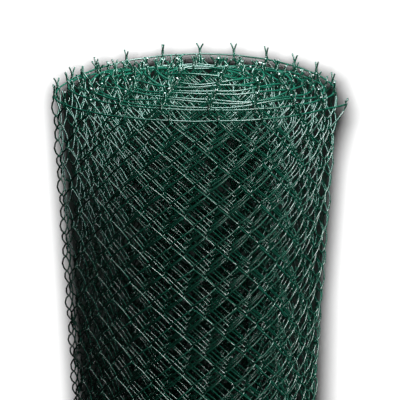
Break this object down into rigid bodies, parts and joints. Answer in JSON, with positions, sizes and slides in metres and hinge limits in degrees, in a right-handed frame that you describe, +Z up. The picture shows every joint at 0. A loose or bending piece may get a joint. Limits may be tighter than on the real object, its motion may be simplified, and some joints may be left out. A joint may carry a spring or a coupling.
{
  "type": "roll of chain-link fencing",
  "caption": "Roll of green coated chain-link fence mesh standing on its end, with a loose outer turn, a woven-in line wire and twisted barbs along the top edge.",
  "frame": {"origin": "middle of the roll, on the floor that it stands on", "axes": "+Z up along the roll's axis, -Y toward the side that the picture shows, +X to the right in it, toward the free end of the mesh"},
  "size_m": [0.5085, 0.4912, 1.032],
  "materials": {
    "mesh_wire": "moss green PVC jacket, extruded over galvanised steel wire, semi-gloss",
    "line_wire": "moss green PVC jacket, extruded over thicker steel wire, semi-gloss"
  },
  "bodies": {
    "root": {"mesh_roll": "mesh_wire", "top_line_wire": "line_wire", "barbs": "mesh_wire"}
  },
  "joints": []
}
